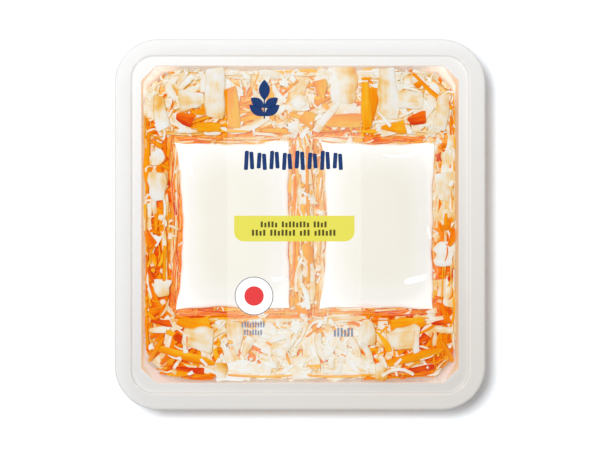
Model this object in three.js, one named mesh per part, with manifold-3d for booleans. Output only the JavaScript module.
// A sealed square tray of coleslaw: a clear moulded tray with a wide rim, a heap of shredded white cabbage and
// carrot in it, two sachets of dressing lying on the heap, and a film sealed to the rim.
// Millimetres, +Z up, the origin in the middle of the face that the tray stands on.
import * as THREE from "three";
import { mergeVertices } from "three/addons/utils/BufferGeometryUtils.js";
import Module from "manifold-3d";

const wasm = await Module();
wasm.setup();

// ---------------------------------------------------------------- driving dimensions

const TRAY_SIDE = 190; // across the rim, both ways
const TRAY_HEIGHT = 48; // foot to sealing face
const WALL = 0.8;
const RIM_RADIUS = 22.8; // the rim's corners in plan
const LIP_DROP = 3; // the rim's edge is turned down by this much
const LIP_ROUNDING = 1.4; // in section, where it turns down
const FOLD_ROUNDING = 0.5; // in section, at the step and the cavity's mouth
const STEP_SIDE = 172.8; // where the rim steps down to the ledge
const STEP_RADIUS = 11.8;
const LEDGE_DEPTH = 3; // sealing face to ledge
const CAVITY_SIDE = 162.8; // the cavity's mouth, at the ledge
const CAVITY_CUT = 7.7; // its corners are cut at 45 degrees
const CAVITY_RADIUS = 2.6; // and the cut's two edges are rounded
const DRAFT = 4.2; // how far each wall leans in on its way down
const FOOT_RADIUS = 5.5; // wall to foot, in section
const FOOT_WIDTH = 9; // the flat ring that the tray stands on
const PANEL_RISE = 1.5; // the floor inside that ring is raised

const FILM_SIDE = 186.8;
const FILM_THICKNESS = 0.4;

const SACHET_WIDTH = 66;
const SACHET_LENGTH = 94;
const SACHET_THICKNESS = 15.4; // at the middle of the pillow
const SACHET_SEAM = 4.4; // the flat sealed border
const SEAM_THICKNESS = 0.8;
const SACHET_WAIST = 1.6; // how far each side pulls in, halfway along
const PILLOW_STEPS = [0.2, 0.45, 0.7, 0.88, 0.97, 1]; // from the middle of the filled part to its seam
const SACHET_Y = -0.7;
const SACHET_Z = 39.6; // the height of the sealed borders
const SACHETS = { sachet_left: { x: -34.8, turn: 0.006 }, sachet_right: { x: 39.7, turn: -0.01 } };
const BED_TOP = 12; // the space over a sachet's border that the heap leaves free

const CLEARANCE = 0.35; // left between pieces that lie against each other
const HEAP_LEVEL = 41; // the core's mean height
const HEAP_RELIEF = 1.4; // how uneven its top is
const LONG_ROLL = 10; // its rolls repeat after about six of these, and it has longer ones
const SHORT_ROLL = 6; // and shorter ones
const CORNER_HOLLOW = 9; // the heap is lower in the tray's corners
const CORNER_REACH = 34; // how far from a corner that shows
const CORE_RINGS = [0.12, 0.28, 0.44, 0.58, 0.7, 0.81, 0.91, 1]; // of its top, as shares of the full width
const CORE_HEIGHTS = [28, 14, 7]; // and of its sides
const CORE_FOOT = 0.95; // its underside's share of the full width
const SHRED_RELIEF = 2; // how far shreds stand out of the core towards the tray's walls

// The three kinds of shred: ranges of length and width, the thickness, how far one bows sideways at most, how
// far it waves up and down, its straight stretches along and across, and its share of the mix.
const SHREDS = [
  { length: [16, 34], width: [4, 7.4], thickness: 1.6, bow: 6, wave: 0.6, along: 3, across: 1, share: 0.45 },
  { length: [14, 30], width: [2.4, 4.4], thickness: 2.2, bow: 4, wave: 0, along: 3, across: 1, share: 0.4 },
  { length: [18, 28], width: [9, 13], thickness: 1.6, bow: 3, wave: 1.5, along: 3, across: 2, share: 0.15 },
];
const TOP_SPACING = 11.6; // between the shreds on the heap
const SIDE_SPACING = { along: 19, up: 12.5 }; // between those against a wall
const SIDE_SCATTER = { along: 5, up: 3, turn: 1.5 }; // how far those stray from their grid, in mm and radians
const SHRED_TAPER = 0.35; // how much narrower a shred's ends are
const SACHET_MARGIN = 1; // shreds stay this far from the sachets, in plan
const MOST_ATTEMPTS = 8; // at placing a shred
const SEED = 3;

const ARC_STEPS = 3; // straight edges in an eighth of a turn
const ROUND_CUT = 2 - Math.SQRT2; // a cut of this many radii is a plain round corner
const WELD = 1e-3; // points nearer than this are one

const MATERIALS = {
  tray: new THREE.MeshStandardMaterial({ color: 0xf1f2f0, roughness: 0.12, transparent: true, opacity: 0.35 }),
  film: new THREE.MeshStandardMaterial({ color: 0xffffff, roughness: 0.08, transparent: true, opacity: 0.18 }),
  sachet: new THREE.MeshStandardMaterial({ color: 0xf5f2e7, roughness: 0.25 }),
  coleslaw: new THREE.MeshStandardMaterial({ color: 0xf4b46c, roughness: 0.55 }),
};

// ---------------------------------------------------------------- outlines, skins and slabs

// The outline of a rectangle with its corners cut at 45 degrees and rounded, anticlockwise, as plan points.
function outline(halfX, halfY, cut, radius) {
  const tangent = radius * Math.tan(Math.PI / 8);
  const points = [];
  for (let quarter = 0; quarter < 4; quarter++) {
    const [across, along] = quarter % 2 ? [halfY, halfX] : [halfX, halfY];
    const centres = [
      [across - radius, along - cut - tangent],
      [across - cut - tangent, along - radius],
    ];
    centres.forEach(([x, y], arm) => {
      for (let step = 0; step <= ARC_STEPS; step++) {
        const angle = ((arm + step / ARC_STEPS) * Math.PI) / 4;
        const point = new THREE.Vector2(x + radius * Math.cos(angle), y + radius * Math.sin(angle));
        points.push(point.rotateAround(new THREE.Vector2(), (quarter * Math.PI) / 2));
      }
    });
  }
  return points;
}

// An outline lifted to a height, which may be a number or a function of the plan point.
function loop(points, height) {
  const heightAt = typeof height === "function" ? height : () => height;
  return points.map((p) => new THREE.Vector3(p.x, p.y, heightAt(p.x, p.y)));
}

// The closed skin that runs through the loops in order, from a fan over the first to a fan over the last.
// Loops that run outwards first, then down, wrap a solid. Loops that start on a floor and rise line a hollow.
function loft(loops) {
  const count = loops[0].length;
  const points = loops.flat();
  const indices = [];
  const addTriangle = (...corners) => {
    const [a, b, c] = corners.map((i) => points[i]);
    const degenerate = a.distanceTo(b) < WELD || b.distanceTo(c) < WELD || c.distanceTo(a) < WELD;
    if (!degenerate) indices.push(...corners);
  };
  const addFan = (ring, facingUp) => {
    const middle = points.push(middleOf(loops[ring])) - 1;
    for (let i = 0; i < count; i++) {
      const here = ring * count + i;
      const next = ring * count + ((i + 1) % count);
      addTriangle(middle, ...(facingUp ? [here, next] : [next, here]));
    }
  };
  for (let ring = 0; ring + 1 < loops.length; ring++)
    for (let i = 0; i < count; i++) {
      const a = ring * count + i;
      const d = ring * count + ((i + 1) % count);
      addTriangle(a, a + count, d + count);
      addTriangle(a, d + count, d);
    }
  addFan(0, true);
  addFan(loops.length - 1, false);
  const geometry = new THREE.BufferGeometry().setFromPoints(points);
  geometry.setIndex(indices);
  return geometry;
}

function middleOf(points) {
  return points.reduce((sum, p) => sum.add(p), new THREE.Vector3()).divideScalar(points.length);
}

// A thin solid on a grid of parameters, us along it and vs across it. The place function gives the point at u and
// v on the upper face (side 1) and on the lower face (side -1). Both faces split into triangles alike.
function slab(us, vs, place) {
  const points = [1, -1].flatMap((side) => us.flatMap((u) => vs.map((v) => place(u, v, side))));
  const at = (i, j, lower) => (lower * us.length + i) * vs.length + j;
  const indices = [];
  const addQuad = (a, b, c, d) => indices.push(a, b, c, a, c, d);
  for (let i = 0; i + 1 < us.length; i++)
    for (let j = 0; j + 1 < vs.length; j++) {
      addQuad(at(i, j, 0), at(i + 1, j, 0), at(i + 1, j + 1, 0), at(i, j + 1, 0));
      indices.push(at(i, j, 1), at(i + 1, j + 1, 1), at(i + 1, j, 1));
      indices.push(at(i, j, 1), at(i, j + 1, 1), at(i + 1, j + 1, 1));
    }
  const addEdge = (from, to) => addQuad(at(...from, 1), at(...to, 1), at(...to, 0), at(...from, 0));
  const lastI = us.length - 1;
  const lastJ = vs.length - 1;
  for (let i = 0; i < lastI; i++) {
    addEdge([i, 0], [i + 1, 0]);
    addEdge([i + 1, lastJ], [i, lastJ]);
  }
  for (let j = 0; j < lastJ; j++) {
    addEdge([lastI, j], [lastI, j + 1]);
    addEdge([0, j + 1], [0, j]);
  }
  const geometry = new THREE.BufferGeometry().setFromPoints(points);
  geometry.setIndex(indices);
  return geometry;
}

// Parameters from -1 to 1 in equal steps.
function evenSteps(count) {
  return Array.from({ length: count + 1 }, (_, i) => (2 * i) / count - 1);
}

// ---------------------------------------------------------------- solids to join and cut

function solidFrom(geometry) {
  const bare = geometry.clone();
  bare.deleteAttribute("normal");
  bare.deleteAttribute("uv");
  const merged = mergeVertices(bare, WELD);
  return new wasm.Manifold(
    new wasm.Mesh({
      numProp: 3,
      vertProperties: new Float32Array(merged.attributes.position.array),
      triVerts: new Uint32Array(merged.index.array),
    }),
  );
}

function geometryFrom(solid) {
  const mesh = solid.getMesh();
  const geometry = new THREE.BufferGeometry();
  geometry.setAttribute("position", new THREE.BufferAttribute(mesh.vertProperties, 3));
  geometry.setIndex(new THREE.BufferAttribute(mesh.triVerts, 1));
  geometry.computeVertexNormals();
  return geometry;
}

// The main body of a fused solid. Scraps are dropped, and so are the hollows that fusing sealed, which fills them.
// Welding close points can pinch off another hollow, so it is done first.
function mainBody(solid) {
  const welded = solidFrom(geometryFrom(solid));
  return welded.decompose().reduce((best, body) => (body.volume() > best.volume() ? body : best));
}

// ---------------------------------------------------------------- tray

// The tray's upper surface in section, from the floor's middle out to the edge of the lip. Each station has the
// half width and height of one loop, the corner's cut and its radius.
function trayStations() {
  const half = CAVITY_SIDE / 2;
  const ledge = TRAY_HEIGHT - LEDGE_DEPTH;
  const foot = half - DRAFT;
  const step = STEP_SIDE / 2;
  const rim = TRAY_SIDE / 2;
  const lipBevel = LIP_ROUNDING * (1 - Math.SQRT1_2); // halfway round the lip's bend
  const cavity = (h, z) => ({ half: h, z, cut: CAVITY_CUT, radius: CAVITY_RADIUS });
  const round = (h, z, radius) => ({ half: h, z, cut: radius * ROUND_CUT, radius });
  const footArc = [0, 30, 60, 90].map((degrees) => {
    const angle = THREE.MathUtils.degToRad(degrees);
    const run = FOOT_RADIUS * (1 - Math.sin(angle));
    return cavity(foot - run, WALL + FOOT_RADIUS * (1 - Math.cos(angle)));
  });
  const panelEdge = footArc[0].half - FOOT_WIDTH;
  return [
    cavity(panelEdge - PANEL_RISE, WALL + PANEL_RISE),
    cavity(panelEdge, WALL),
    ...footArc,
    cavity(half - FOLD_ROUNDING, ledge - 2 * FOLD_ROUNDING),
    cavity(half, ledge),
    round(step - FOLD_ROUNDING, ledge, STEP_RADIUS - FOLD_ROUNDING),
    round(step, TRAY_HEIGHT - FOLD_ROUNDING, STEP_RADIUS),
    round(step + FOLD_ROUNDING, TRAY_HEIGHT, STEP_RADIUS + FOLD_ROUNDING),
    round(rim - LIP_ROUNDING, TRAY_HEIGHT, RIM_RADIUS - LIP_ROUNDING),
    round(rim - lipBevel, TRAY_HEIGHT - lipBevel, RIM_RADIUS - lipBevel),
    round(rim, TRAY_HEIGHT - LIP_ROUNDING, RIM_RADIUS),
    round(rim, TRAY_HEIGHT - LIP_DROP, RIM_RADIUS),
  ];
}

// The same stations moved by the wall's thickness to the other side of the sheet.
function underside(stations) {
  return stations.map((here, i) => {
    const before = stations[Math.max(i - 1, 0)];
    const after = stations[Math.min(i + 1, stations.length - 1)];
    const away = [before, after]
      .map((other, side) => (side ? sheetNormal(here, other) : sheetNormal(other, here)))
      .filter((normal) => normal !== null);
    const mean = away.reduce((sum, n) => sum.add(n), new THREE.Vector2()).normalize();
    const stretch = WALL / mean.dot(away[0]);
    const out = mean.x * stretch;
    return {
      half: here.half + out,
      z: here.z + mean.y * stretch,
      cut: here.cut + out * ROUND_CUT,
      radius: Math.max(here.radius + out, 0.3),
    };
  });
}

// The unit normal of the stretch between two stations, pointing to the sheet's outer side, or null for no stretch.
function sheetNormal(from, to) {
  const run = new THREE.Vector2(to.half - from.half, to.z - from.z);
  return run.length() < WELD ? null : new THREE.Vector2(run.y, -run.x).normalize();
}

function trayGeometry() {
  const upper = trayStations();
  const lower = underside(upper).reverse();
  return loft([...upper, ...lower].map((s) => loop(outline(s.half, s.half, s.cut, s.radius), s.z)));
}

// The cavity's half width at a height, on its inner face.
function cavityHalf(z) {
  const up = (z - WALL) / (TRAY_HEIGHT - LEDGE_DEPTH - WALL);
  return CAVITY_SIDE / 2 - FOLD_ROUNDING - DRAFT * (1 - up);
}

// ---------------------------------------------------------------- film

function filmGeometry() {
  const half = FILM_SIDE / 2;
  const radius = RIM_RADIUS - (TRAY_SIDE - FILM_SIDE) / 2;
  const plan = outline(half, half, radius * ROUND_CUT, radius);
  return loft([loop(plan, TRAY_HEIGHT + FILM_THICKNESS), loop(plan, TRAY_HEIGHT)]);
}

// ---------------------------------------------------------------- sachets

// A pillow with a flat sealed border, pulled in a little halfway along each side. The growth makes it larger all
// round. The lid, where one is given, is a flat top at that height in place of the upper face: the pillow is
// then the bed that the sachet needs, open upwards.
function pillow(growth, lid) {
  const halfX = SACHET_WIDTH / 2 + growth;
  const halfY = SACHET_LENGTH / 2 + growth;
  const seam = SACHET_SEAM;
  const border = SEAM_THICKNESS / 2 + growth;
  const steps = (half) => {
    const filled = 1 - seam / half;
    const inside = PILLOW_STEPS.map((share) => share * filled);
    return [-1, ...inside.map((u) => -u).reverse(), ...inside, 1];
  };
  const fullness = (u, half) => Math.max(1 - Math.abs((u * half) / (half - seam)), 0);
  return slab(steps(halfX), steps(halfY), (u, v, side) => {
    const swell = Math.min(fullness(u, halfX) * 2.2, 1) * Math.min(fullness(v, halfY) * 3.2, 1);
    const belly = (SACHET_THICKNESS / 2 - SEAM_THICKNESS / 2) * Math.sin((swell * Math.PI) / 2) ** 0.7;
    const x = u * (halfX - SACHET_WAIST * (1 - v * v));
    const y = v * (halfY - 0.6 * SACHET_WAIST * (1 - u * u));
    return new THREE.Vector3(x, y, side > 0 && lid ? lid : side * (border + belly));
  });
}

function placeSachet(geometry, { x, turn }) {
  return geometry.rotateZ(turn).translate(x, SACHET_Y, SACHET_Z);
}

// ---------------------------------------------------------------- coleslaw

// A repeatable draw between 0 and 1.
function randomSource(seed) {
  let state = seed;
  return () => {
    state = (state * 1664525 + 1013904223) % 4294967296;
    return state / 4294967296;
  };
}

// The heap's height at a plan point: rolling, and hollow towards the tray's four corners.
function heapLevel(x, y) {
  const roll = Math.sin(x / LONG_ROLL + 1) * Math.cos(y / LONG_ROLL) + 0.6 * Math.sin((x - y) / SHORT_ROLL);
  const corner = Math.hypot(CAVITY_SIDE / 2 - Math.abs(x), CAVITY_SIDE / 2 - Math.abs(y));
  const near = THREE.MathUtils.smoothstep(CORNER_REACH - corner, 0, CORNER_REACH);
  return HEAP_LEVEL + HEAP_RELIEF * roll - CORNER_HOLLOW * near;
}

// The body of the heap: the cavity's shape, short of its walls by the relief of the shreds on them.
function coreGeometry() {
  const inset = CLEARANCE + SHRED_RELIEF;
  const plan = (z, share) => {
    const half = (cavityHalf(z) - inset) * share;
    return outline(half, half, CAVITY_CUT * share, CAVITY_RADIUS * share);
  };
  const floor = WALL + PANEL_RISE + CLEARANCE;
  const top = CORE_RINGS.map((share) => loop(plan(HEAP_LEVEL, share), heapLevel));
  const sides = CORE_HEIGHTS.map((z) => loop(plan(z, 1), z));
  const underneath = loop(plan(floor, CORE_FOOT), floor);
  return loft([...top, ...sides, underneath]);
}

// A shred lying along X: a slab that bows sideways and waves up and down, with tapered ends.
function shredGeometry(kind, draw) {
  const between = ([low, high]) => low + (high - low) * draw();
  const length = between(kind.length);
  const width = between(kind.width);
  const bow = kind.bow * (draw() - 0.5);
  const phase = 2 * Math.PI * draw();
  return slab(evenSteps(kind.along), evenSteps(kind.across), (u, v, side) => {
    const taper = 1 - SHRED_TAPER * Math.abs(u) ** 3;
    const lift = kind.wave * Math.sin(2 * u + 1.5 * v + phase);
    return new THREE.Vector3(
      (u * length) / 2,
      (v * width * taper) / 2 + bow * (1 - u * u),
      (side * kind.thickness) / 2 + lift,
    );
  });
}

// Draws a kind of shred by its share of the mix.
function anyKind(draw) {
  let left = draw();
  return SHREDS.find((kind) => (left -= kind.share) < 0) ?? SHREDS[0];
}

// True where a shred would meet a sachet, whose borders lie on the heap.
function meetsSachet(geometry) {
  const position = geometry.attributes.position;
  return Object.values(SACHETS).some(({ x }) => {
    for (let i = 0; i < position.count; i++) {
      const clearX = Math.abs(position.getX(i) - x) > SACHET_WIDTH / 2 + SACHET_MARGIN;
      const clearY = Math.abs(position.getY(i) - SACHET_Y) > SACHET_LENGTH / 2 + SACHET_MARGIN;
      if (!clearX && !clearY) return true;
    }
    return false;
  });
}

// True where a shred on the heap would meet the tray's walls or its cut corners.
function meetsWall(geometry) {
  const position = geometry.attributes.position;
  for (let i = 0; i < position.count; i++) {
    const x = Math.abs(position.getX(i));
    const y = Math.abs(position.getY(i));
    const half = cavityHalf(position.getZ(i)) - CLEARANCE;
    if (Math.max(x, y) > half || x + y > 2 * half - CAVITY_CUT) return true;
  }
  return false;
}

// Shreds strewn on top of the heap, one to each cell of a loose grid, draped over its surface. One that would
// meet a sachet or a wall is drawn again, every other time squared up with the walls, and given up after a while.
function topShreds(draw) {
  const shreds = [];
  const reach = CAVITY_SIDE / 2 - TOP_SPACING / 2;
  for (let x = -reach; x <= reach; x += TOP_SPACING)
    for (let y = -reach; y <= reach; y += TOP_SPACING)
      for (let attempt = 0; attempt < MOST_ATTEMPTS; attempt++) {
        const kind = anyKind(draw);
        const heading = attempt % 2 ? (Math.PI / 2) * Math.floor(2 * draw()) : Math.PI * draw();
        const centre = [x, y].map((c) => c + TOP_SPACING * (draw() - 0.5));
        const shred = shredGeometry(kind, draw).rotateZ(heading).translate(...centre, 0);
        drape(shred, kind.thickness * (0.2 + 0.6 * draw()));
        if (meetsSachet(shred) || meetsWall(shred)) continue;
        shreds.push(shred);
        break;
      }
  return shreds;
}

// Bends a flat shred to follow the heap's surface, raised by the lift.
function drape(geometry, lift) {
  const position = geometry.attributes.position;
  for (let i = 0; i < position.count; i++)
    position.setZ(i, position.getZ(i) + lift + heapLevel(position.getX(i), position.getY(i)));
  return geometry;
}

// Shreds pressed flat against the four walls, a loose grid of them on each. One that would reach past the wall's
// flat part is turned to run level, and left out if it still does.
function wallShreds(draw) {
  const shreds = [];
  const reach = CAVITY_SIDE / 2 - CAVITY_CUT - DRAFT;
  const low = FOOT_RADIUS + 2;
  const high = HEAP_LEVEL - HEAP_RELIEF;
  for (let side = 0; side < 4; side++)
    for (let z = low + SIDE_SPACING.up / 2; z < high; z += SIDE_SPACING.up)
      for (let along = -reach + SIDE_SPACING.along / 2; along < reach; along += SIDE_SPACING.along) {
        const kind = anyKind(draw);
        const flat = shredGeometry({ ...kind, wave: 0, along: 2, across: 1 }, draw);
        const centre = [along + SIDE_SCATTER.along * (draw() - 0.5), z + SIDE_SCATTER.up * (draw() - 0.5)];
        const depth = (kind.thickness + SHRED_RELIEF * draw()) / 2;
        const laid = [SIDE_SCATTER.turn * (draw() - 0.5), 0]
          .map((heading) => flat.clone().rotateZ(heading).translate(...centre, 0))
          .find((shred) => liesWithin(shred, reach, low, high));
        if (laid) shreds.push(stand(laid, depth).rotateZ((side * Math.PI) / 2));
      }
  return shreds;
}

// True where a flat shred keeps to a rectangle that reaches equally far both ways, and from low to high.
function liesWithin(geometry, reach, low, high) {
  geometry.computeBoundingBox();
  const { min, max } = geometry.boundingBox;
  return Math.max(-min.x, max.x) < reach && min.y > low && max.y < high;
}

// Stands a flat shred, drawn in plan, against the wall that faces -Y, its middle plane at a depth behind the
// clearance.
function stand(geometry, depth) {
  const position = geometry.attributes.position;
  for (let i = 0; i < position.count; i++) {
    const z = position.getY(i);
    position.setXYZ(i, position.getX(i), depth + CLEARANCE - cavityHalf(z) - position.getZ(i), z);
  }
  return geometry;
}

function coleslawGeometry() {
  const draw = randomSource(SEED);
  const core = solidFrom(coreGeometry());
  const beds = Object.values(SACHETS).map((place) => solidFrom(placeSachet(pillow(CLEARANCE, BED_TOP), place)));
  const bedded = beds.reduce((heap, bed) => heap.subtract(bed), core);
  const shreds = [...topShreds(draw), ...wallShreds(draw)].map(solidFrom);
  return geometryFrom(mainBody(shreds.reduce((heap, shred) => heap.add(shred), bedded)));
}

// ---------------------------------------------------------------- the pack

function piece(name, geometry, material) {
  const mesh = new THREE.Mesh(geometry, material);
  mesh.name = name;
  return mesh;
}

const pack = new THREE.Group();
pack.add(piece("tray", trayGeometry(), MATERIALS.tray));
pack.add(piece("coleslaw", coleslawGeometry(), MATERIALS.coleslaw));
for (const [name, place] of Object.entries(SACHETS)) {
  const sachet = piece(name, pillow(0), MATERIALS.sachet);
  sachet.rotation.z = place.turn;
  sachet.position.set(place.x, SACHET_Y, SACHET_Z);
  pack.add(sachet);
}
pack.add(piece("lid_film", filmGeometry(), MATERIALS.film));

export default pack;
